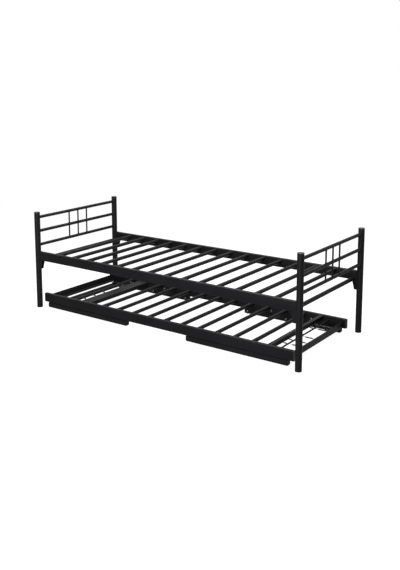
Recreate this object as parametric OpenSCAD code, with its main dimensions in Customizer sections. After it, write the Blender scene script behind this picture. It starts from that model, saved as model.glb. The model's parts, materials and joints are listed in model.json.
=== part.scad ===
// Single guest bed in steel tube, with a low trundle that rolls out to the front and lifts on folding arms.
// Millimetres. Origin: floor, middle of the bed. +X runs along the bed, +Y to the back, +Z up.

/* [Bed] */
// distance between the post centres along the bed
bed_length = 1940; // [1800:10:2100]
// distance between the post centres across the bed
bed_width = 756; // [700:2:1000]
// height of the end posts with their caps
post_height = 641; // [500:1:900]
// outside diameter of the posts
post_d = 38; // [30:1:50]
// height of the side rail's top
rail_top = 380; // [300:1:500]
// height of the side rails' profile, bed and trundle
rail_h = 57; // [40:1:80]
// thickness of the side rails, bed and trundle
rail_t = 25; // [20:1:40]
// diameter of the end bars
bar_d = 20; // [14:1:25]
// diameter of the slats, bed and trundle
slat_d = 23; // [14:1:26]
// distance from one slat to the next on the bed
slat_pitch = 124.5; // [80:0.5:160]
// number of slats on the bed
slat_count = 14; // [9:1:21]

/* [Trundle] */
// length of the trundle's deck
deck_length = 1876; // [1700:2:2000]
// width of the trundle's deck
deck_width = 670; // [560:2:720]
// how far the trundle's middle stands to the left of the bed's middle
trundle_left = 10; // [0:1:12]
// how far the trundle's front face stands behind the bed's front post line
deck_setback = 24; // [22:1:60]
// height of the trundle rail's top when the arms are folded
deck_top = 92; // [92:1:140]
// distance from one slat to the next on the trundle
deck_slat_pitch = 123.6; // [80:0.1:160]

/* [Lift] */
// length of each runner along the floor
runner_length = 680; // [600:5:800]
// how far the arm's deck pivot stands outward of its runner pivot, folded
arm_run = 178; // [150:1:200]
// how far the arm's deck pivot stands above its runner pivot, folded
arm_rise = 36; // [25:1:40]
// distance between the two arms of a pair
arm_gap = 282; // [200:1:320]
// diameter of the caster wheels
wheel_d = 28; // [24:1:30]

/* [Which part] */
// sub-part to draw

/* [Hidden] */
$fn = 48;
eps = 0.01;

steel = [0.22, 0.22, 0.24];
plastic = [0.12, 0.12, 0.13];
zinc = [0.65, 0.66, 0.68];
rubber = [0.16, 0.16, 0.17];

// bed frame
half_l = bed_length / 2;
half_w = bed_width / 2;
post_r = post_d / 2;
post_wall = 1.5;
cap_h = 4;
foot_h = 5;
plug_h = 18;
plug_fit = 0.1;
bar_r = bar_d / 2;
bar_wall = 1.2;
end_bar_z = [post_height - 35, post_height - 127, post_height - 219];
spindle_r = 5;
spindle_pitch = 85;
cross_r = 12.5;
cross_inset = 37;
cross_z = 331;
rail_wall = 1.5;
bracket_plate = 3;
bracket_reach = 25;
bracket_top = 22;
bracket_toe = 6;
bracket_drop = 59;
bolt_r = 4;
bolt_hole_r = 4.2;
bolt_z = [295, 350];
slat_r = slat_d / 2;
slat_drop = 15;

// trundle deck
deck_front = -half_w + deck_setback;
deck_back = deck_front + deck_width;
deck_mid = (deck_front + deck_back) / 2;
deck_bottom = deck_top - rail_h;
deck_in = deck_front + rail_t;
deck_span = deck_width - 2 * rail_t;
plug_flange = 3;
end_angle_x = deck_length / 2 - 18;
end_angle_z = deck_top - 53.5;
end_angle_leg = 40;
angle_t = 3;
deck_first_slat = -699.3;
deck_slat_steps = [0, 2, 3, 4, 5, 6, 7, 8, 9, 10, 11];
left_angle_x = deck_first_slat + 49.3;
left_angle_w = 77;
left_angle_top = deck_top - slat_drop + angle_t / 2;
right_angle_x = 765;
right_angle_w = 25;
cross_angle_h = 25;
rod_r = 5;
rod_x = 824.5;
left_spring_z = left_angle_top - angle_t / 2;
right_spring_z = deck_top - cross_angle_h + angle_t / 2;
left_spring_y = [-236, -146, -54, 146, 236];
right_spring_y = [-189, -123, -37, 123, 189];
spring_r = 4;
hook_r = 1.25;

// lift
runner_h = 30;
runner_z = 2.5;
runner_wall = 2;
runner_round = 8;
runner_outer = deck_length / 2 - 33;
runner_inner = runner_outer - runner_length;
low_pivot_x = runner_inner + 25;
low_pivot_z = runner_z + 15;
high_pivot_z = low_pivot_z + arm_rise;
arm_t = 4;
arm_r = 11;
arm_foot_r = 15;
arm_clear = 0.4;
pin_r = 5;
running_fit = 0.05;
open_pivot_fit = 0.5;
rivet_head_r = 8;
rivet_head_h = 3.5;
lift_cross_r = 11;
lift_cross_x = runner_outer - 35;
lift_cross_z = runner_z + runner_h - lift_cross_r;
caster_x = lift_cross_x - 45;
caster_in = 29;
caster_trail = 12;
caster_plate_t = 3;
caster_plate_z = runner_z + runner_h;
stem_r = 4;
wheel_r = wheel_d / 2;
wheel_w = 12;
wheel_side_gap = 0.6;
cheek_t = 2;
axle_r = 2.5;

// ---------- shared shapes ----------

// rectangular tube along X from x0 to x1, with its outer face centred on y
module box_tube(x0, x1, y, z0, width, height, wall) {
    difference() {
        translate([x0, y - width / 2, z0])
            cube([x1 - x0, width, height]);
        translate([x0 - 1, y - width / 2 + wall, z0 + wall])
            cube([x1 - x0 + 2, width - 2 * wall, height - 2 * wall]);
    }
}

// solid round bar along Y
module rod_y(x, z, y0, y1, r) {
    translate([x, y0, z])
        rotate([-90, 0, 0])
            cylinder(h = y1 - y0, r = r);
}

// solid round bar along X
module rod_x(x0, x1, y, z, r) {
    translate([x0, y, z])
        rotate([0, 90, 0])
            cylinder(h = x1 - x0, r = r);
}

// round tube along Y
module tube_y(x, z, y0, y1, r, wall) {
    difference() {
        rod_y(x, z, y0, y1, r);
        rod_y(x, z, y0 - 1, y1 + 1, r - wall);
    }
}

// slat: a round tube welded between the inner faces of the two rails
module slat(x, top, y0, y1) {
    tube_y(x, top - slat_drop, y0, y1, slat_r, bar_wall);
}

// ---------- bed ----------

// solid stand-in of all four posts, used to cope the parts that meet them
module post_cores() {
    for (sx = [-1, 1])
        for (sy = [-1, 1])
            translate([sx * half_l, sy * half_w, 0])
                cylinder(h = post_height + 1, r = post_r);
}

module bolt_holes(sx, sy) {
    for (z = bolt_z)
        rod_x(sx > 0 ? half_l - 40 : -half_l, sx > 0 ? half_l : -half_l + 40, sy * half_w, z, bolt_hole_r);
}

module post(sx, sy) {
    color(steel)
        difference() {
            translate([sx * half_l, sy * half_w, foot_h])
                cylinder(h = post_height - cap_h - foot_h, r = post_r);
            translate([sx * half_l, sy * half_w, 0])
                cylinder(h = post_height, r = post_r - post_wall);
            bolt_holes(sx, sy);
        }
}

// plastic insert: a disc as wide as the post and a plug inside it
module post_insert(z_disc, h_disc, z_plug) {
    translate([0, 0, z_disc])
        cylinder(h = h_disc, r = post_r);
    translate([0, 0, z_plug])
        cylinder(h = plug_h, r = post_r - post_wall - plug_fit);
}

module post_inserts(z_disc, h_disc, z_plug) {
    color(plastic)
        for (sx = [-1, 1])
            for (sy = [-1, 1])
                translate([sx * half_l, sy * half_w, 0])
                    post_insert(z_disc, h_disc, z_plug);
}

module post_caps() {
    post_inserts(post_height - cap_h, cap_h, post_height - cap_h - plug_h);
}

module post_feet() {
    post_inserts(0, foot_h, foot_h);
}

module end_bar(side, level) {
    color(steel)
        difference() {
            tube_y(side * half_l, end_bar_z[level], -half_w, half_w, bar_r, bar_wall);
            post_cores();
        }
}

// three upright rods in two lengths each, coped between the top, middle and low bars
module end_spindles(side) {
    color(steel)
        difference() {
            for (k = [-1, 0, 1])
                translate([side * half_l, k * spindle_pitch, end_bar_z[2]])
                    cylinder(h = end_bar_z[0] - end_bar_z[2], r = spindle_r);
            for (z = end_bar_z)
                rod_y(side * half_l, z, -half_w, half_w, bar_r);
        }
}

module end_cross_tube(side) {
    reach = half_w - rail_t / 2;
    color(steel)
        tube_y(side * (half_l - cross_inset), cross_z, -reach, reach, cross_r, rail_wall);
}

module side_rail(sy) {
    end_x = half_l - bracket_reach;
    color(steel)
        box_tube(-end_x, end_x, sy * half_w, rail_top - rail_h, rail_t, rail_h, rail_wall);
}

// gusset outline seen from the front, in x from the post centre and z
module gusset_outline() {
    z0 = rail_top - rail_h;
    low = z0 - bracket_drop;
    polygon([
        [-bracket_reach - bracket_top, z0],
        [-bracket_reach - bracket_toe, low],
        [-bracket_reach + eps, low],
        [-bracket_reach + eps, z0]
    ]);
}

module corner_bracket(sx, sy) {
    low = rail_top - rail_h - bracket_drop;
    color(steel)
        difference() {
            translate([sx * half_l, sy * half_w, 0])
                scale([sx, 1, 1]) {
                    for (y = [-rail_t / 2 + bracket_plate, rail_t / 2])
                        translate([0, y, 0])
                            rotate([90, 0, 0])
                                linear_extrude(bracket_plate)
                                    gusset_outline();
                    translate([-bracket_reach, -rail_t / 2, low])
                        cube([bracket_reach, rail_t, rail_top - low]);
                }
            post_cores();
            bolt_holes(sx, sy);
        }
}

module corner_bolts() {
    head_h = 5;
    color(zinc)
        for (sx = [-1, 1])
            for (sy = [-1, 1])
                for (z = bolt_z)
                    translate([sx * half_l, sy * half_w, z])
                        scale([sx, 1, 1]) {
                            rod_x(-bracket_reach - head_h, -bracket_reach, 0, 0, bolt_r * 1.8);
                            rod_x(-bracket_reach - head_h, -bar_r / 2, 0, 0, bolt_r);
                        }
}

module bed_slats() {
    reach = half_w - rail_t / 2;
    color(steel)
        for (k = [0 : slat_count - 1])
            slat((k - (slat_count - 1) / 2) * slat_pitch, rail_top, -reach, reach);
}

// ---------- trundle deck ----------

// every node of the trundle is drawn about the trundle's own middle and set down through this
module in_trundle() {
    translate([-trundle_left, 0, 0])
        children();
}

module trundle_rail(back) {
    end_x = deck_length / 2 - plug_flange;
    face = inner_face(back);
    y = face - inward(back) * rail_t / 2;
    color(steel)
        difference() {
            box_tube(-end_x, end_x, y, deck_bottom, rail_t, rail_h, rail_wall);
            for (x = pivot_xs())
                rod_y(x, high_pivot_z, face - 3, face + 3, pin_r);
        }
}

function pivot_xs() = [for (s = [-1, 1]) for (g = [0, arm_gap]) s * (low_pivot_x + arm_run + g)];

module trundle_rail_plugs() {
    inside_w = rail_t - 2 * rail_wall - 2 * plug_fit;
    inside_h = rail_h - 2 * rail_wall - 2 * plug_fit;
    color(plastic)
        for (sx = [-1, 1])
            for (y = [deck_front + rail_t / 2, deck_back - rail_t / 2])
                scale([sx, 1, 1]) {
                    translate([deck_length / 2 - plug_flange, y - rail_t / 2, deck_bottom])
                        cube([plug_flange, rail_t, rail_h]);
                    translate([deck_length / 2 - 20, y - inside_w / 2, deck_bottom + rail_wall + plug_fit])
                        cube([20 - plug_flange + eps, inside_w, inside_h]);
                }
}

// angle iron between the two rails, its upright leg outside and its flat leg at the bottom
module end_angle(sx) {
    color(steel)
        scale([sx, 1, 1]) {
            translate([end_angle_x - angle_t, deck_in, end_angle_z])
                cube([angle_t, deck_span, end_angle_leg]);
            translate([end_angle_x - end_angle_leg, deck_in, end_angle_z])
                cube([end_angle_leg, deck_span, angle_t]);
        }
}

// angle iron between the two rails: a flange on top from x on, and a leg down along its right edge
module cross_angle(x, width, top) {
    color(steel) {
        translate([x, deck_in, top - angle_t])
            cube([width, deck_span, angle_t]);
        translate([x + width - angle_t, deck_in, top - cross_angle_h])
            cube([angle_t, deck_span, cross_angle_h]);
    }
}

module left_cross_angle() {
    cross_angle(left_angle_x, left_angle_w, left_angle_top);
}

module right_cross_angle() {
    cross_angle(right_angle_x, right_angle_w, deck_top);
}

module trundle_slats() {
    color(steel)
        for (k = deck_slat_steps)
            slat(deck_first_slat + k * deck_slat_pitch, deck_top, deck_in, deck_in + deck_span);
}

module spring_rod() {
    color(steel)
        rod_y(rod_x, right_spring_z, deck_in, deck_in + deck_span, rod_r);
}

// coil springs along X, each drawn as its coil body and two straight hooks
module spring_row(x0, x1, z, hook, places) {
    color(zinc)
        for (y = places) {
            rod_x(x0, x1, deck_mid + y, z, hook_r);
            rod_x(x0 + hook, x1 - hook, deck_mid + y, z, spring_r);
        }
}

module left_deck_springs() {
    spring_row(deck_first_slat + slat_r, left_angle_x, left_spring_z, 8, left_spring_y);
}

module right_inner_springs() {
    spring_row(right_angle_x + right_angle_w, rod_x - rod_r, right_spring_z, 5, right_spring_y);
}

module right_outer_springs() {
    spring_row(rod_x + rod_r, end_angle_x - angle_t, right_spring_z, 20, right_spring_y);
}

// ---------- lift ----------

// inner faces of the front and rear runners, where the arms lie
function inner_face(back) = back ? deck_back - rail_t : deck_in;
function inward(back) = back ? -1 : 1;

// rivet at a pivot: shank through arm and wall, dome head over the arm, upset end inside the wall
module rivet(x, z, back, wall) {
    arm_out = arm_clear + arm_t + arm_clear;
    translate([x, inner_face(back), z])
        scale([1, inward(back), 1]) {
            rod_y(0, 0, -wall - 2, arm_out + eps, pin_r);
            rod_y(0, 0, -wall - 2, -wall - 0.2, pin_r + 2);
            translate([0, arm_out, 0])
                rotate([-90, 0, 0])
                    cylinder(h = rivet_head_h, r1 = rivet_head_r, r2 = rivet_head_r * 0.6);
        }
}

module deck_pivot_rivets() {
    color(zinc)
        for (x = pivot_xs())
            for (back = [false, true])
                rivet(x, high_pivot_z, back, rail_wall);
}

module runner_rivets(side) {
    color(zinc)
        for (g = [0, arm_gap])
            for (back = [false, true])
                rivet(side * (low_pivot_x + g), low_pivot_z, back, runner_wall);
}

// side view of a runner with rounded ends below, in x from the bed's middle and z
module runner_profile(inset) {
    r = runner_round;
    z0 = runner_z + inset;
    z1 = runner_z + runner_h - inset;
    x0 = runner_inner + inset;
    x1 = runner_outer - inset;
    polygon([[x0 + r, z0], [x1 - r, z0], [x1, z0 + r], [x1, z1], [x0, z1], [x0, z0 + r]]);
    for (x = [x0 + r, x1 - r])
        translate([x, z0 + r])
            circle(r = r);
}

module runner(side, back) {
    y = back ? deck_back - rail_t : deck_front;
    face = inner_face(back);
    hollow = runner_length - 2 * runner_round;
    color(steel)
        difference() {
            scale([side, 1, 1])
                translate([0, y + rail_t, 0])
                    rotate([90, 0, 0])
                        linear_extrude(rail_t)
                            runner_profile(0);
            scale([side, 1, 1])
                translate([runner_inner + runner_round, y + runner_wall, runner_z - 1])
                    cube([hollow, rail_t - 2 * runner_wall, runner_h - runner_wall + 1]);
            for (g = [0, arm_gap])
                rod_y(side * (low_pivot_x + g), low_pivot_z, face - 3, face + 3, pin_r);
        }
}

module lift_cross_tube(side) {
    color(steel)
        tube_y(side * lift_cross_x, lift_cross_z, deck_in, deck_in + deck_span, lift_cross_r, rail_wall);
}

// plates welded over the cross tube's ends, each carrying one caster stem
module caster_plates(side) {
    color(steel)
        for (back = [false, true])
            difference() {
                translate([side * lift_cross_x, inner_face(back), caster_plate_z])
                    scale([-side, inward(back), 1])
                        translate([-lift_cross_r, 0, 0])
                            cube([lift_cross_r + 45 + 17, caster_in + 17, caster_plate_t]);
                translate([side * caster_x, inner_face(back) + inward(back) * caster_in, 0])
                    cylinder(h = 100, r = stem_r + running_fit);
            }
}

// arm lying on the inside of rail and runner, from its wider foot at the runner up to its deck pivot
module arm(side, gap, back, low_fit) {
    x0 = low_pivot_x + gap;
    y0 = back ? inner_face(true) - arm_clear : inner_face(false) + arm_clear + arm_t;
    length = sqrt(arm_run * arm_run + arm_rise * arm_rise);
    scale([side, 1, 1])
        translate([x0, y0, low_pivot_z])
            rotate([90, -atan2(arm_rise, arm_run), 0])
                linear_extrude(arm_t)
                    difference() {
                        union() {
                            translate([0, -arm_r])
                                square([length, 2 * arm_r]);
                            circle(r = arm_foot_r);
                            translate([length, 0])
                                circle(r = arm_r);
                        }
                        circle(r = pin_r + low_fit);
                        translate([length, 0])
                            circle(r = pin_r + running_fit);
                    }
}

module arms(side, gap, low_fit) {
    color(steel)
        for (back = [false, true])
            arm(side, gap, back, low_fit);
}

// ---------- casters ----------

module at_caster(side, back) {
    translate([side * caster_x, inner_face(back) + inward(back) * caster_in, 0])
        children();
}

// fork with its swivel stem; the axle is riveted across the cheeks
module caster_fork(side, back) {
    half_in = wheel_w / 2 + wheel_side_gap;
    top = caster_plate_z - 0.4;
    stem_top = caster_plate_z + caster_plate_t + 2;
    color(zinc)
        at_caster(side, back) {
            translate([0, 0, top - cheek_t])
                cylinder(h = cheek_t, r = half_in + cheek_t + 1);
            cylinder_from(top - eps, stem_top, stem_r);
            cylinder_from(stem_top - 1.6, stem_top, stem_r + 2);
            for (s = [-1, 1])
                translate([s * (half_in + cheek_t / 2) - cheek_t / 2, -7, wheel_r - 5])
                    cube([cheek_t, caster_trail + 12, top - wheel_r + 5]);
            rod_x(-half_in - eps, half_in + eps, caster_trail, wheel_r, axle_r);
        }
}

module cylinder_from(z0, z1, r) {
    translate([0, 0, z0])
        cylinder(h = z1 - z0, r = r);
}

module caster_wheel(side, back) {
    color(rubber)
        at_caster(side, back)
            difference() {
                rod_x(-wheel_w / 2, wheel_w / 2, caster_trail, wheel_r, wheel_r);
                rod_x(-wheel_w, wheel_w, caster_trail, wheel_r, axle_r + running_fit);
            }
}

// ---------- nodes ----------

post(-1, -1);  // post_front_left
post(1, -1);  // post_front_right
post(-1, 1);  // post_rear_left
post(1, 1);  // post_rear_right
post_caps();
post_feet();
end_bar(-1, 0);  // left_end_top_bar
end_bar(-1, 1);  // left_end_middle_bar
end_bar(-1, 2);  // left_end_low_bar
end_spindles(-1);  // left_end_spindles
end_bar(1, 0);  // right_end_top_bar
end_bar(1, 1);  // right_end_middle_bar
end_bar(1, 2);  // right_end_low_bar
end_spindles(1);  // right_end_spindles
end_cross_tube(-1);  // left_end_cross_tube
end_cross_tube(1);  // right_end_cross_tube
side_rail(-1);  // front_side_rail
side_rail(1);  // rear_side_rail
corner_bracket(-1, -1);  // corner_bracket_front_left
corner_bracket(1, -1);  // corner_bracket_front_right
corner_bracket(-1, 1);  // corner_bracket_rear_left
corner_bracket(1, 1);  // corner_bracket_rear_right
corner_bolts();
bed_slats();
in_trundle() trundle_rail(false);  // trundle_front_rail
in_trundle() trundle_rail(true);  // trundle_rear_rail
in_trundle() trundle_rail_plugs();
in_trundle() end_angle(-1);  // trundle_left_end_angle
in_trundle() end_angle(1);  // trundle_right_end_angle
in_trundle() left_cross_angle();  // trundle_left_cross_angle
in_trundle() right_cross_angle();  // trundle_right_cross_angle
in_trundle() trundle_slats();
in_trundle() spring_rod();
in_trundle() left_deck_springs();
in_trundle() right_inner_springs();
in_trundle() right_outer_springs();
in_trundle() deck_pivot_rivets();
in_trundle() runner(-1, false);  // left_front_runner
in_trundle() runner(-1, true);  // left_rear_runner
in_trundle() lift_cross_tube(-1);  // left_cross_tube
in_trundle() caster_plates(-1);  // left_caster_plates
in_trundle() runner_rivets(-1);  // left_runner_rivets
in_trundle() runner(1, false);  // right_front_runner
in_trundle() runner(1, true);  // right_rear_runner
in_trundle() lift_cross_tube(1);  // right_cross_tube
in_trundle() caster_plates(1);  // right_caster_plates
in_trundle() runner_rivets(1);  // right_runner_rivets
in_trundle() arms(-1, arm_gap, running_fit);  // left_outer_arms
in_trundle() arms(-1, 0, open_pivot_fit);  // left_inner_arms
in_trundle() arms(1, arm_gap, running_fit);  // right_outer_arms
in_trundle() arms(1, 0, open_pivot_fit);  // right_inner_arms
in_trundle() caster_fork(-1, false);  // caster_fork_front_left
in_trundle() caster_wheel(-1, false);  // caster_wheel_front_left
in_trundle() caster_fork(1, false);  // caster_fork_front_right
in_trundle() caster_wheel(1, false);  // caster_wheel_front_right
in_trundle() caster_fork(-1, true);  // caster_fork_rear_left
in_trundle() caster_wheel(-1, true);  // caster_wheel_rear_left
in_trundle() caster_fork(1, true);  // caster_fork_rear_right
in_trundle() caster_wheel(1, true);  // caster_wheel_rear_right
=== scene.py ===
import json
from math import cos, pi, radians, sin, sqrt

import bmesh
import bpy
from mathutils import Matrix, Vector


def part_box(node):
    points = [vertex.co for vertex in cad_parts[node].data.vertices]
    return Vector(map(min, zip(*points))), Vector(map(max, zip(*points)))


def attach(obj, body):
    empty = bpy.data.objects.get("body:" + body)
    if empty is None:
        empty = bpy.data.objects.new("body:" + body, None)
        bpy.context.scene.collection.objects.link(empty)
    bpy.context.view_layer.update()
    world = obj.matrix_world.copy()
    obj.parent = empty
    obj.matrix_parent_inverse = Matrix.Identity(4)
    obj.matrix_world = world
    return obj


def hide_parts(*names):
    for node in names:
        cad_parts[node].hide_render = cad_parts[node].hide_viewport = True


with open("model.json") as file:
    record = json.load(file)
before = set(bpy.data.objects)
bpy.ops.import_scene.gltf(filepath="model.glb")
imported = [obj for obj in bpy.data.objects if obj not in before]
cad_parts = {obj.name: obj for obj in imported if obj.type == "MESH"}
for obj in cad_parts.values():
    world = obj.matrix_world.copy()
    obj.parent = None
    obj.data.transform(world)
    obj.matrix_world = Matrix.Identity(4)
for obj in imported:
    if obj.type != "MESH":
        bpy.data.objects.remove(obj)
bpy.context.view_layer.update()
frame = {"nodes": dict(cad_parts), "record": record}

# ---------- sizes, in metres ----------

MM = 0.001

# rails and their end plugs
BEND_RADIUS = 2.6 * MM
RAIL_WALL = 1.5 * MM
RAIL_EDGE = 0.3 * MM
PLUG_RIM = 1.0 * MM
PLUG_CORNER = 1.2 * MM
PLUG_DEPTH = 17 * MM
PLUG_FIT = 0.1 * MM

# posts, with their caps and feet
POST_WALL = 1.5 * MM
INSERT_DISC = {"post_caps": 4 * MM, "post_feet": 5 * MM}
INSERT_RIM = 1.3 * MM
INSERT_TIP = 1 * MM

# weld beads
WELD_R = 1.7 * MM
WELD_RIPPLE = 0.14
WELD_RIPPLES = 7

# folding arms' rivets: the reach is from the rail's inner face to the top of the head
ARM_GAP = 282 * MM
RIVET_HEAD_R = 8 * MM
RIVET_HEAD_H = 3.5 * MM
RIVET_SHANK_R = 5 * MM
RIVET_REACH = 8.3 * MM
UPSET_R = RIVET_SHANK_R + 2 * MM
UPSET_H = 1.6 * MM

# bolts from the corner brackets into the posts
BOLT_R = 4 * MM
BOLT_REACH = 25 * MM
BOLT_HEAD_R = 7.2 * MM
BOLT_HEAD_H = 5 * MM
BOLT_RIM = 1 * MM
DOME_ARC = radians(68)

# springs, with their places to the rear of the deck's middle
WIRE_R = 1.25 * MM
SPRING_R = 4 * MM
SPRING_PITCH = 2.8 * MM
HOOK_BEND = 2.5 * MM
COIL_STEPS = 14
LEFT_SPRING_Y = [y * MM for y in (-236, -146, -54, 146, 236)]
RIGHT_SPRING_Y = [y * MM for y in (-189, -123, -37, 123, 189)]

# casters
AXLE_HOLE_R = 2.55 * MM
WHEEL_DISH = 0.7 * MM

# width of the broken edges on CAD nodes whose names hold these words
SOFT_EDGES = {"corner_bracket": 0.8 * MM, "angle": 0.6 * MM, "runner": 1.2 * MM, "arms": 0.6 * MM,
              "caster_plates": 0.6 * MM, "caster_fork": 0.4 * MM}

X, Y, Z = Vector((1, 0, 0)), Vector((0, 1, 0)), Vector((0, 0, 1))
ENDS = ("left", "right")
SIDES = ("front", "rear")


def middle(node):
    """Centre of a CAD node's box."""
    low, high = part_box(node)
    return (low + high) / 2


def radius_of(node, axis):
    """Half of a CAD node's box along axis 0, 1 or 2: the radius of a round member across that axis."""
    low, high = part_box(node)
    return (high[axis] - low[axis]) / 2


# ---------- materials ----------

class Shader:
    """A node material in the making, with the Principled shader at its end."""

    def __init__(self, name, roughness, metallic=0.0):
        self.material = bpy.data.materials.new(name)
        self.material.use_nodes = True
        self.nodes = self.material.node_tree.nodes
        self.links = self.material.node_tree.links
        self.surface = self.nodes["Principled BSDF"]
        self.surface.inputs["Roughness"].default_value = roughness
        self.surface.inputs["Metallic"].default_value = metallic
        self.place = self.nodes.new("ShaderNodeTexCoord").outputs["Object"]

    def stretched(self, scale):
        """The surface's own coordinates, scaled by a different amount along each axis."""
        mapping = self.nodes.new("ShaderNodeMapping")
        mapping.inputs["Scale"].default_value = scale
        self.links.new(self.place, mapping.inputs["Vector"])
        return mapping.outputs["Vector"]

    def noise(self, scale, detail=2.0, vector=None):
        """A noise texture's value, in the object's own coordinates unless a vector is given."""
        texture = self.nodes.new("ShaderNodeTexNoise")
        texture.inputs["Scale"].default_value = scale
        texture.inputs["Detail"].default_value = detail
        self.links.new(vector or self.place, texture.inputs["Vector"])
        return texture.outputs["Fac"]

    def spread(self, value, low, high, to_low=0.0, to_high=1.0):
        """Maps low..high to to_low..to_high and clamps."""
        mapping = self.nodes.new("ShaderNodeMapRange")
        settings = {"From Min": low, "From Max": high, "To Min": to_low, "To Max": to_high}
        for socket, number in settings.items():
            mapping.inputs[socket].default_value = number
        self.links.new(value, mapping.inputs["Value"])
        return mapping.outputs["Result"]

    def maths(self, operation, a, b):
        """One operation on two values. Each is a number or a socket."""
        node = self.nodes.new("ShaderNodeMath")
        node.operation = operation
        for socket, value in zip(node.inputs, (a, b)):
            if isinstance(value, float):
                socket.default_value = value
            else:
                self.links.new(value, socket)
        return node.outputs["Value"]

    def mixed(self, factor, a, b):
        """Colour a where the factor is 0 and colour b where it is 1. Each is a colour or a socket."""
        node = self.nodes.new("ShaderNodeMix")
        node.data_type = "RGBA"
        self.links.new(factor, node.inputs["Factor"])
        for name, value in (("A", a), ("B", b)):
            socket = [s for s in node.inputs if s.name == name and s.type == "RGBA"][0]
            if isinstance(value, tuple):
                socket.default_value = (*value, 1.0)
            else:
                self.links.new(value, socket)
        return [s for s in node.outputs if s.type == "RGBA"][0]

    def rounded_normal(self, radius):
        """The normal of the surface with its edges rounded off, for the light that catches along them."""
        bevel = self.nodes.new("ShaderNodeBevel")
        bevel.samples = 4
        bevel.inputs["Radius"].default_value = radius
        return bevel.outputs["Normal"]

    def edge_mask(self, rounded):
        """1 along edges and 0 on flats, from how far the rounded normal turns away from the true one."""
        geometry = self.nodes.new("ShaderNodeNewGeometry")
        dot = self.nodes.new("ShaderNodeVectorMath")
        dot.operation = "DOT_PRODUCT"
        self.links.new(rounded, dot.inputs[0])
        self.links.new(geometry.outputs["Normal"], dot.inputs[1])
        return self.spread(dot.outputs["Value"], 0.995, 0.86)

    def facing_up(self):
        """1 on surfaces that face up, 0 on upright and lower ones."""
        geometry = self.nodes.new("ShaderNodeNewGeometry")
        split = self.nodes.new("ShaderNodeSeparateXYZ")
        self.links.new(geometry.outputs["Normal"], split.inputs["Vector"])
        return self.spread(split.outputs["Z"], 0.55, 0.98)

    def colour(self, socket):
        """Takes the base colour from a socket."""
        self.links.new(socket, self.surface.inputs["Base Color"])

    def roughness(self, socket):
        """Takes the roughness from a socket."""
        self.links.new(socket, self.surface.inputs["Roughness"])

    def bump(self, height, distance, strength=1.0, normal=None):
        """Raises the surface by the height, on top of the normal if one is given."""
        node = self.nodes.new("ShaderNodeBump")
        node.inputs["Strength"].default_value = strength
        node.inputs["Distance"].default_value = distance
        self.links.new(height, node.inputs["Height"])
        if normal:
            self.links.new(normal, node.inputs["Normal"])
        self.links.new(node.outputs["Normal"], self.surface.inputs["Normal"])


def powder_coat_material():
    """Satin black powder coat on steel: orange peel, a slow drift in tone, rubbed edges, and faces that turn
    up made lighter, partly by dust and partly by painted top light.
    """
    s = Shader("powder_coat_black", roughness=0.42)
    s.surface.inputs["Specular IOR Level"].default_value = 0.035
    cloud = s.noise(5.0, detail=3.0)
    grain = s.noise(650.0, detail=2.0)
    pores = s.noise(1900.0, detail=1.0)
    rubbed = s.noise(48.0, detail=4.0)
    rounded = s.rounded_normal(1.2 * MM)

    coat = s.mixed(s.spread(cloud, 0.35, 0.65), (0.0014, 0.0014, 0.0016), (0.0021, 0.0021, 0.0024))
    coat = s.mixed(s.spread(grain, 0.52, 0.72, 0.0, 0.4), coat, (0.0042, 0.0042, 0.0045))
    wear = s.maths("MULTIPLY", s.edge_mask(rounded), s.spread(rubbed, 0.40, 0.66, 0.10, 0.6))
    coat = s.mixed(wear, coat, (0.010, 0.010, 0.0105))
    # faces that turn up are lightened: partly dust, partly a painted highlight that stands in for the light
    # from above
    dust_and_painted_top_light = s.maths("MULTIPLY", s.facing_up(), s.spread(s.noise(26.0, detail=5.0), 0.42, 0.75, 0.05, 0.35))
    s.colour(s.mixed(dust_and_painted_top_light, coat, (0.0068, 0.0067, 0.0065)))

    s.roughness(s.maths("ADD", s.spread(grain, 0.3, 0.7, 0.36, 0.48), s.spread(cloud, 0.3, 0.7, -0.03, 0.04)))
    peel = s.maths("ADD", grain, s.maths("MULTIPLY", pores, 0.35))
    s.bump(peel, 0.00022, 0.55, rounded)
    return s.material


def plastic_material():
    """Moulded black plastic with a fine spark-eroded grain."""
    s = Shader("black_plastic_moulded", roughness=0.5)
    s.surface.inputs["Specular IOR Level"].default_value = 0.08
    grain = s.noise(1400.0, detail=2.0)
    flow = s.noise(30.0, detail=2.0)
    rounded = s.rounded_normal(0.8 * MM)
    base = s.mixed(s.spread(flow, 0.3, 0.7), (0.0035, 0.0035, 0.0038), (0.0055, 0.0055, 0.0058))
    scuffed = s.spread(s.noise(90.0, detail=3.0), 0.4, 0.7, 0.1, 0.6)
    scuffs = s.maths("MULTIPLY", s.edge_mask(rounded), scuffed)
    s.colour(s.mixed(scuffs, base, (0.018, 0.018, 0.018)))
    s.roughness(s.spread(grain, 0.3, 0.7, 0.44, 0.6))
    s.bump(grain, 0.00015, 0.5, rounded)
    return s.material


def zinc_material(name, tone, roughness, streak=(1.0, 1.0, 1.0)):
    """Plated or drawn steel: a dark grey metal with cloudy patches and fine drawn or turned lines."""
    s = Shader(name, roughness=roughness, metallic=1.0)
    patches = s.noise(140.0, detail=3.0)
    lines = s.noise(900.0, detail=2.0, vector=s.stretched(streak))
    dull = tuple(c * 0.62 for c in tone)
    base = s.mixed(s.spread(patches, 0.35, 0.68), tone, dull)
    s.colour(s.mixed(s.spread(lines, 0.55, 0.75, 0.0, 0.4), base, tuple(c * 0.45 for c in tone)))
    s.roughness(s.spread(patches, 0.3, 0.7, roughness - 0.07, roughness + 0.1))
    s.bump(lines, 0.00008, 0.4, s.rounded_normal(0.4 * MM))
    return s.material


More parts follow.
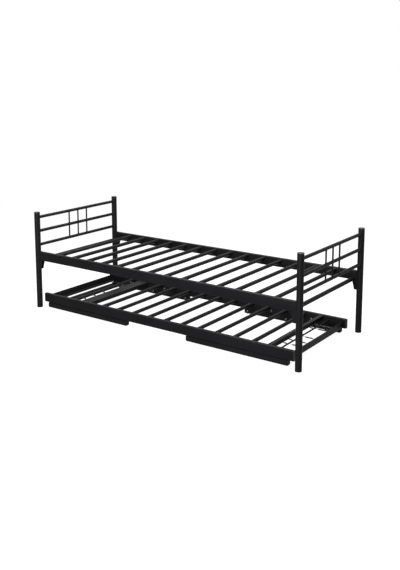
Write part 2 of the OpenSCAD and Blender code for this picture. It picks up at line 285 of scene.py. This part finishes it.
def rubber_material():
    """Dark grey tyre rubber, matt, with floor dust ground into it."""
    s = Shader("tyre_rubber_grey", roughness=0.8)
    s.surface.inputs["Specular IOR Level"].default_value = 0.1
    grain = s.noise(700.0, detail=4.0)
    grime = s.noise(75.0, detail=5.0)
    base = s.mixed(s.spread(grain, 0.35, 0.7), (0.006, 0.006, 0.0065), (0.011, 0.011, 0.0115))
    s.colour(s.mixed(s.spread(grime, 0.5, 0.75, 0.0, 0.5), base, (0.03, 0.029, 0.028)))
    s.roughness(s.spread(grime, 0.3, 0.7, 0.7, 0.92))
    s.bump(grain, 0.0003, 0.6)
    return s.material


MATERIALS = {
    "powder_coat": powder_coat_material(),
    "black_plastic": plastic_material(),
    "zinc_fasteners": zinc_material("zinc_fastener_black", (0.045, 0.045, 0.047), 0.45),
    "spring_wire": zinc_material("spring_wire_drawn", (0.035, 0.035, 0.036), 0.40, (0.05, 1.0, 1.0)),
    "zinc_forks": zinc_material("zinc_fork_pressed", (0.07, 0.07, 0.073), 0.42),
    "wheel_rubber": rubber_material(),
}


# ---------- mesh helpers ----------

def skin(bm, rings, wrap=False):
    """Joins rings of points, all of the same count, with quads. The ends are capped, or joined if wrap."""
    made = [[bm.verts.new(p) for p in ring] for ring in rings]
    count = len(made[0])
    pairs = list(zip(made, made[1:]))
    if wrap:
        pairs.append((made[-1], made[0]))
    for a, b in pairs:
        for i in range(count):
            j = (i + 1) % count
            bm.faces.new((a[i], a[j], b[j], b[i]))
    if not wrap:
        bm.faces.new(list(reversed(made[0])))
        bm.faces.new(made[-1])


def rounded_rectangle(width, height, radius, steps=4):
    """Corner-rounded outline about the origin, as (across, up) pairs."""
    points = []
    for corner in range(4):
        turn = corner * pi / 2
        across = (width / 2 - radius) * (1 if corner in (0, 3) else -1)
        up = (height / 2 - radius) * (1 if corner in (0, 1) else -1)
        for k in range(steps + 1):
            angle = turn + k * pi / 2 / steps
            points.append((across + radius * cos(angle), up + radius * sin(angle)))
    return points


def revolve(bm, profile, origin, axis, sides=32):
    """Turns (radius, height) pairs about the axis through the origin. The first and last are flat discs."""
    side = X if abs(axis.dot(X)) < 0.9 else Y
    u = (side - axis * side.dot(axis)).normalized()
    v = axis.cross(u)
    angles = [2 * pi * k / sides for k in range(sides)]
    rings = []
    for radius, height in profile:
        centre = origin + axis * height
        rings.append([centre + (u * cos(a) + v * sin(a)) * radius for a in angles])
    skin(bm, rings)


def sweep(bm, points, radii, sides=8, closed=False):
    """A round wire along the points; radii is one radius, or one for each point."""
    count = len(points)
    if isinstance(radii, float):
        radii = [radii] * count
    angles = [2 * pi * i / sides for i in range(sides)]
    rings = []
    u = None
    for k, point in enumerate(points):
        after = points[(k + 1) % count] if closed or k < count - 1 else point
        before = points[k - 1] if closed or k > 0 else point
        along = (after - before).normalized()
        if u is None:
            u = along.orthogonal().normalized()
        u = (u - along * u.dot(along)).normalized()
        v = along.cross(u)
        rings.append([point + (u * cos(a) + v * sin(a)) * radii[k] for a in angles])
    skin(bm, rings, wrap=closed)


def piece(name, bm, body, slot, replaced=None, sharp=40.0):
    """Makes the object and lets it ride on its body. It replaces a CAD node where one is named."""
    bmesh.ops.recalc_face_normals(bm, faces=bm.faces)
    mesh = bpy.data.meshes.new(name)
    bm.to_mesh(mesh)
    bm.free()
    mesh.shade_smooth()
    mesh.set_sharp_from_angle(angle=radians(sharp))
    mesh.materials.append(MATERIALS[slot])
    made = bpy.data.objects.new(name, mesh)
    bpy.context.scene.collection.objects.link(made)
    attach(made, body)
    if replaced:
        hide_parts(replaced)


def body_of(node):
    """The body that a CAD node rides on."""
    return next(name for name, nodes in frame["record"]["behaviour"]["bodies"].items() if node in nodes)


def edge_width(node):
    """How wide the broken edges of a CAD node are: 0 for tubes and fasteners."""
    if "rivets" in node:
        return 0.0
    return max((width for word, width in SOFT_EDGES.items() if word in node), default=0.0)


def restyle(cad, slot, soften):
    """Gives a CAD node its finish and breaks its sharp edges by the width soften, if that isn't 0."""
    for index in range(len(cad.data.materials)):
        cad.data.materials[index] = MATERIALS[slot]
    if soften:
        weld = cad.modifiers.new("join_corners", "WELD")
        weld.merge_threshold = 0.01 * MM
        flat = cad.modifiers.new("one_face_per_flat", "DECIMATE")
        flat.decimate_type = "DISSOLVE"
        flat.angle_limit = radians(1.0)
        edge = cad.modifiers.new("broken_edges", "BEVEL")
        edge.limit_method = "ANGLE"
        edge.angle_limit = radians(40.0)
        edge.width = soften
        edge.segments = 2
        edge.use_clamp_overlap = False
        edge.harden_normals = True


# ---------- rails ----------

def rail_ring(node, x, inset, corner_r):
    """The outline of a rail's section at x, drawn in by inset on all four sides."""
    low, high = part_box(node)
    size = high - low
    centre = middle(node)
    outline = rounded_rectangle(size.y - 2 * inset, size.z - 2 * inset, corner_r)
    return [Vector((x, centre.y + across, centre.z + up)) for across, up in outline]


def rail(node):
    """Rectangular tube along X with rolled corners, open at both ends."""
    low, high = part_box(node)
    stations = [
        (low.x, RAIL_WALL), (low.x, RAIL_EDGE), (low.x + RAIL_EDGE, 0.0),
        (high.x - RAIL_EDGE, 0.0), (high.x, RAIL_EDGE), (high.x, RAIL_WALL),
    ]
    bm = bmesh.new()
    skin(bm, [rail_ring(node, x, inset, BEND_RADIUS - inset) for x, inset in stations], wrap=True)
    piece(node + "_rolled", bm, body_of(node), "powder_coat", node)


# ---------- slats and welds ----------

def bead(bm, point_at, count=28):
    """A closed weld bead along point_at(angle), slightly rippled."""
    angles = [2 * pi * k / count for k in range(count)]
    radii = [WELD_R * (1 + WELD_RIPPLE * sin(WELD_RIPPLES * a)) for a in angles]
    sweep(bm, [point_at(a) for a in angles], radii, sides=7, closed=True)


def bead_on_face(bm, centre, radius):
    """Bead round a tube along Y that meets a flat face."""
    bead(bm, lambda a: centre + Vector((radius * cos(a), 0, radius * sin(a))))


def bead_on_post(bm, centre, facing, post_r, bar_r):
    """Bead round a bar along Y on a round post's rear, where facing is 1, or on its front, where it is -1."""
    bead(bm, lambda a: centre + Vector((
        bar_r * cos(a), facing * sqrt(post_r ** 2 - (bar_r * cos(a)) ** 2), bar_r * sin(a))))


def bead_on_bar(bm, centre, facing, bar_r, spindle_r):
    """Bead round a spindle on the top of a bar along Y, where facing is 1, or under it, where it is -1."""
    bead(bm, lambda a: centre + Vector((
        spindle_r * cos(a), spindle_r * sin(a), facing * sqrt(bar_r ** 2 - (spindle_r * cos(a)) ** 2))), 16)


def slats(node, count, left_out=()):
    """Round tubes between the rails, evenly spaced over the CAD node's length."""
    low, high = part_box(node)
    radius = radius_of(node, 2)
    length = high.y - low.y
    pitch = (high.x - low.x - 2 * radius) / (count - 1)
    tubes, beads = bmesh.new(), bmesh.new()
    for k in range(count):
        if k in left_out:
            continue
        start = Vector((low.x + radius + k * pitch, low.y, low.z + radius))
        revolve(tubes, [(radius, 0.0), (radius, length)], start, Y, sides=40)
        for face in (low.y, high.y):
            bead_on_face(beads, Vector((start.x, face, start.z)), radius)
    piece(node + "_tubes", tubes, body_of(node), "powder_coat", node)
    piece(node + "_welds", beads, body_of(node), "powder_coat", sharp=70.0)


def tube_welds(node):
    """Beads at both ends of one round cross member that stands between flat faces."""
    low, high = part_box(node)
    centre = middle(node)
    bm = bmesh.new()
    for face in (low.y, high.y):
        bead_on_face(bm, Vector((centre.x, face, centre.z)), radius_of(node, 2))
    piece(node + "_welds", bm, body_of(node), "powder_coat", sharp=70.0)


def end_frame_welds(end):
    """Beads where the bars meet the posts and the spindles meet the bars."""
    bars = [middle(f"{end}_end_{level}_bar") for level in ("top", "middle", "low")]
    bar_r = radius_of(f"{end}_end_top_bar", 2)
    bm = bmesh.new()
    for side, inward in (("front", 1), ("rear", -1)):
        post = f"post_{side}_{end}"
        for bar in bars:
            centre = Vector((middle(post).x, middle(post).y, bar.z))
            bead_on_post(bm, centre, inward, radius_of(post, 0), bar_r)
    spindles = f"{end}_end_spindles"
    low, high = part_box(spindles)
    spindle_r = radius_of(spindles, 0)
    for y in (low.y + spindle_r, (low.y + high.y) / 2, high.y - spindle_r):
        for bar, facing in ((bars[0], -1), (bars[1], 1), (bars[1], -1), (bars[2], 1)):
            bead_on_bar(bm, Vector((bar.x, y, bar.z)), facing, bar_r, spindle_r)
    piece(f"{end}_end_frame_welds", bm, "bed", "powder_coat", sharp=70.0)


# ---------- plastic parts ----------

def post_inserts(node, up):
    """Disc with a softened rim and a plug inside each post. up is 1 for the caps and -1 for the feet."""
    low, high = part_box(node)
    outside = high.z if up > 0 else low.z
    disc = INSERT_DISC[node]
    total = high.z - low.z
    rim = INSERT_RIM
    bm = bmesh.new()
    for side in SIDES:
        for end in ENDS:
            post = f"post_{side}_{end}"
            radius = radius_of(post, 0)
            plug = radius - POST_WALL - PLUG_FIT
            profile = [(radius - rim, 0.0), (radius - rim * 0.3, rim * 0.3), (radius, rim), (radius, disc),
                       (plug, disc), (plug, total - INSERT_TIP), (plug - INSERT_TIP, total)]
            start = Vector((middle(post).x, middle(post).y, outside))
            revolve(bm, profile, start, Z * -up, sides=48)
    piece(node + "_moulded", bm, "bed", "black_plastic", node)


def rail_plugs():
    """End plugs: a flange as large as the rail's section and an insert inside it."""
    node = "trundle_rail_plugs"
    low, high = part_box(node)
    insert = RAIL_WALL + PLUG_FIT
    bm = bmesh.new()
    for plugged in ("trundle_front_rail", "trundle_rear_rail"):
        rail_low, rail_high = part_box(plugged)
        for tip, seat, inward in ((low.x, rail_low.x, 1), (high.x, rail_high.x, -1)):
            stations = [
                (tip, PLUG_RIM, BEND_RADIUS), (tip + inward * PLUG_RIM * 0.35, PLUG_RIM * 0.3, BEND_RADIUS),
                (tip + inward * PLUG_RIM, 0.0, BEND_RADIUS), (seat, 0.0, BEND_RADIUS),
                (seat, insert, PLUG_CORNER), (seat + inward * PLUG_DEPTH, insert, PLUG_CORNER),
            ]
            skin(bm, [rail_ring(plugged, x, inset, corner_r) for x, inset, corner_r in stations])
    piece(node + "_moulded", bm, body_of(node), "black_plastic", node)


# ---------- bolts and rivets ----------

def domed_head(head_r, head_h, start):
    """Profile of a domed head above the height start."""
    steps = 6
    angles = [k / steps * DOME_ARC for k in range(steps + 1)]
    return [(head_r * cos(a), start + head_h * sin(a) / sin(DOME_ARC)) for a in angles]


def corner_bolts():
    """Two domed bolts at each corner, through the bracket and the post."""
    node = "corner_bolts"
    low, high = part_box(node)
    neck = BOLT_REACH - BOLT_HEAD_H
    profile = [(BOLT_R, 0.0), (BOLT_R, neck), (BOLT_HEAD_R, neck)]
    profile += domed_head(BOLT_HEAD_R, BOLT_HEAD_H - BOLT_RIM, neck + BOLT_RIM)
    bm = bmesh.new()
    for tip, inward in ((low.x, 1), (high.x, -1)):
        for side in SIDES:
            y = middle(f"post_{side}_left").y
            for z in (low.z + BOLT_HEAD_R, high.z - BOLT_HEAD_R):
                revolve(bm, profile, Vector((tip, y, z)), X * inward)
    piece(node + "_turned", bm, "bed", "zinc_fasteners", node)


def rivets(node, places):
    """Domed rivets through the arms at the x positions given. The heads face the middle of the trundle."""
    low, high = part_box(node)
    rail_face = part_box("trundle_front_rail")[1].y
    neck = rail_face - low.y + RIVET_REACH - RIVET_HEAD_H
    profile = [(UPSET_R, 0.0), (UPSET_R, UPSET_H), (RIVET_SHANK_R, UPSET_H), (RIVET_SHANK_R, neck)]
    profile += domed_head(RIVET_HEAD_R, RIVET_HEAD_H, neck)
    bm = bmesh.new()
    for x in places:
        for start, inward in ((low.y, 1), (high.y, -1)):
            revolve(bm, profile, Vector((x, start, middle(node).z)), Y * inward)
    piece(node + "_domed", bm, body_of(node), "zinc_fasteners", node)


# ---------- springs ----------

def spring(bm, x0, x1, y, z, hook):
    """Coil along X from x0 to x1, with a straight length of wire, hook long, at each end."""
    coil_r = SPRING_R - WIRE_R
    start, end = x0 + hook, x1 - hook
    turns = round((end - start) / SPRING_PITCH)
    steps = turns * COIL_STEPS
    half_turn = COIL_STEPS / 2
    points = [Vector((x0, y, z)), Vector((start - HOOK_BEND, y, z))]
    for k in range(steps + 1):
        angle = 2 * pi * turns * k / steps
        coil_now = coil_r * min(1.0, k / half_turn, (steps - k) / half_turn)
        along = start + (end - start) * k / steps
        points.append(Vector((along, y + coil_now * cos(angle), z + coil_now * sin(angle))))
    points += [Vector((end + HOOK_BEND, y, z)), Vector((x1, y, z))]
    sweep(bm, points, WIRE_R, sides=8)


def springs(node, places, hook):
    """A row of springs over the CAD node's length, at the given places from the deck's middle."""
    low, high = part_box(node)
    deck_middle = middle("spring_rod").y
    bm = bmesh.new()
    for place in places:
        spring(bm, low.x, high.x, deck_middle + place, middle(node).z, hook)
    piece(node + "_coiled", bm, body_of(node), "spring_wire", node, sharp=70.0)


# ---------- casters ----------

def caster_wheel(node):
    """Tyre with rounded shoulders on a hub that stands slightly proud."""
    low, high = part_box(node)
    radius, width = radius_of(node, 2), high.x - low.x
    hub = radius * 0.52
    near = [(hub, 0.0), (hub, WHEEL_DISH), (radius * 0.60, WHEEL_DISH), (radius * 0.86, WHEEL_DISH),
            (radius * 0.95, WHEEL_DISH + 0.8 * MM), (radius, WHEEL_DISH + 2.4 * MM)]
    far = [(r, width - across) for r, across in reversed(near)]
    bore = [(AXLE_HOLE_R, width), (AXLE_HOLE_R, 0.0)]
    start = Vector((low.x, middle(node).y, middle(node).z))
    sides = 40
    angles = [2 * pi * k / sides for k in range(sides)]
    rings = []
    for r, across in near + far + bore:
        rings.append([start + Vector((across, r * cos(a), r * sin(a))) for a in angles])
    bm = bmesh.new()
    skin(bm, rings, wrap=True)
    piece(node + "_tyre", bm, body_of(node), "wheel_rubber", node)


# ---------- stage ----------

def add_floor():
    """A pale floor that fades into the pale surroundings far from the bed."""
    bpy.ops.mesh.primitive_circle_add(vertices=96, radius=60.0, fill_type="NGON", location=(0, 0, 0))
    floor = bpy.context.active_object
    floor.name = "studio_floor"
    material = bpy.data.materials.new("studio_floor_pale")
    material.use_nodes = True
    nodes, links = material.node_tree.nodes, material.node_tree.links
    surface = nodes["Principled BSDF"]
    surface.inputs["Base Color"].default_value = (0.86, 0.86, 0.86, 1.0)
    surface.inputs["Roughness"].default_value = 0.75
    surface.inputs["Specular IOR Level"].default_value = 0.2
    glow = nodes.new("ShaderNodeEmission")
    glow.inputs["Color"].default_value = (1.0, 1.0, 1.0, 1.0)
    place = nodes.new("ShaderNodeTexCoord")
    distance = nodes.new("ShaderNodeVectorMath")
    distance.operation = "LENGTH"
    links.new(place.outputs["Object"], distance.inputs[0])
    fade = nodes.new("ShaderNodeMapRange")
    fade.interpolation_type = "SMOOTHSTEP"
    fade.inputs["From Min"].default_value = 0.9
    fade.inputs["From Max"].default_value = 3.5
    fade.inputs["To Min"].default_value = 0.94
    links.new(distance.outputs["Value"], fade.inputs["Value"])
    blend = nodes.new("ShaderNodeMixShader")
    links.new(fade.outputs["Result"], blend.inputs["Fac"])
    links.new(surface.outputs["BSDF"], blend.inputs[1])
    links.new(glow.outputs["Emission"], blend.inputs[2])
    links.new(blend.outputs["Shader"], nodes["Material Output"].inputs["Surface"])
    floor.data.materials.append(material)


def add_softbox(name, location, size, power):
    """A rectangular lamp that faces the middle of the bed."""
    aim = Vector((0.0, 0.0, 0.3))
    lamp = bpy.data.lights.new(name, "AREA")
    lamp.shape = "RECTANGLE"
    lamp.size, lamp.size_y = size
    lamp.energy = power
    made = bpy.data.objects.new(name, lamp)
    made.location = location
    made.rotation_mode = "QUATERNION"
    made.rotation_quaternion = (aim - Vector(location)).to_track_quat("-Z", "Y")
    bpy.context.scene.collection.objects.link(made)


def add_studio():
    """White surroundings, a lamp overhead and one in front."""
    world = bpy.data.worlds.new("studio")
    bpy.context.scene.world = world
    world.use_nodes = True
    background = world.node_tree.nodes["Background"]
    background.inputs["Color"].default_value = (1.0, 1.0, 1.0, 1.0)
    background.inputs["Strength"].default_value = 1.0
    add_softbox("overhead_softbox", location=(0.4, 0.3, 3.4), size=(4.0, 3.0), power=900.0)
    add_softbox("front_softbox", location=(1.2, -4.6, 1.6), size=(3.2, 2.4), power=850.0)
    bpy.context.scene.view_settings.view_transform = "Standard"


def add_camera():
    """Camera at the picture's viewing angle. The shift keeps the posts upright in a tall frame."""
    azimuth, elevation = radians(35.32), radians(9.385)
    aim = Vector((0.068, 0.0, 0.809))
    distance = 4.837
    back = Vector((sin(azimuth) * cos(elevation), -cos(azimuth) * cos(elevation), sin(elevation)))
    data = bpy.data.cameras.new("camera")
    data.lens = 49.79
    data.sensor_width = 36.0
    data.shift_y = -0.15965
    camera = bpy.data.objects.new("camera", data)
    camera.location = aim + back * distance
    camera.rotation_mode = "QUATERNION"
    camera.rotation_quaternion = (-back).to_track_quat("-Z", "Y")
    bpy.context.scene.collection.objects.link(camera)
    bpy.context.scene.camera = camera


# ---------- the bed ----------

add_camera()
add_studio()
add_floor()

for node, cad in frame["nodes"].items():
    restyle(cad, cad.data.materials[0].name, edge_width(node))

for node in ("front_side_rail", "rear_side_rail", "trundle_front_rail", "trundle_rear_rail"):
    rail(node)

slats("bed_slats", 14)
# the left cross angle takes the place of the trundle's second slat
slats("trundle_slats", 12, left_out=(1,))
for tubes in ("end_cross_tube", "cross_tube"):
    for end in ENDS:
        tube_welds(f"{end}_{tubes}")
tube_welds("spring_rod")
for end in ENDS:
    end_frame_welds(end)

post_inserts("post_caps", up=1)
post_inserts("post_feet", up=-1)
rail_plugs()
corner_bolts()

pivot_low, pivot_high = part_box("deck_pivot_rivets")
outer_left, outer_right = pivot_low.x + RIVET_HEAD_R, pivot_high.x - RIVET_HEAD_R
rivets("deck_pivot_rivets", (outer_left, outer_left + ARM_GAP, outer_right - ARM_GAP, outer_right))
for end in ENDS:
    rivet_low, rivet_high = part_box(f"{end}_runner_rivets")
    rivets(f"{end}_runner_rivets", (rivet_low.x + RIVET_HEAD_R, rivet_high.x - RIVET_HEAD_R))

springs("left_deck_springs", LEFT_SPRING_Y, hook=8 * MM)
springs("right_inner_springs", RIGHT_SPRING_Y, hook=5 * MM)
springs("right_outer_springs", RIGHT_SPRING_Y, hook=20 * MM)

for side in SIDES:
    for end in ENDS:
        caster_wheel(f"caster_wheel_{side}_{end}")
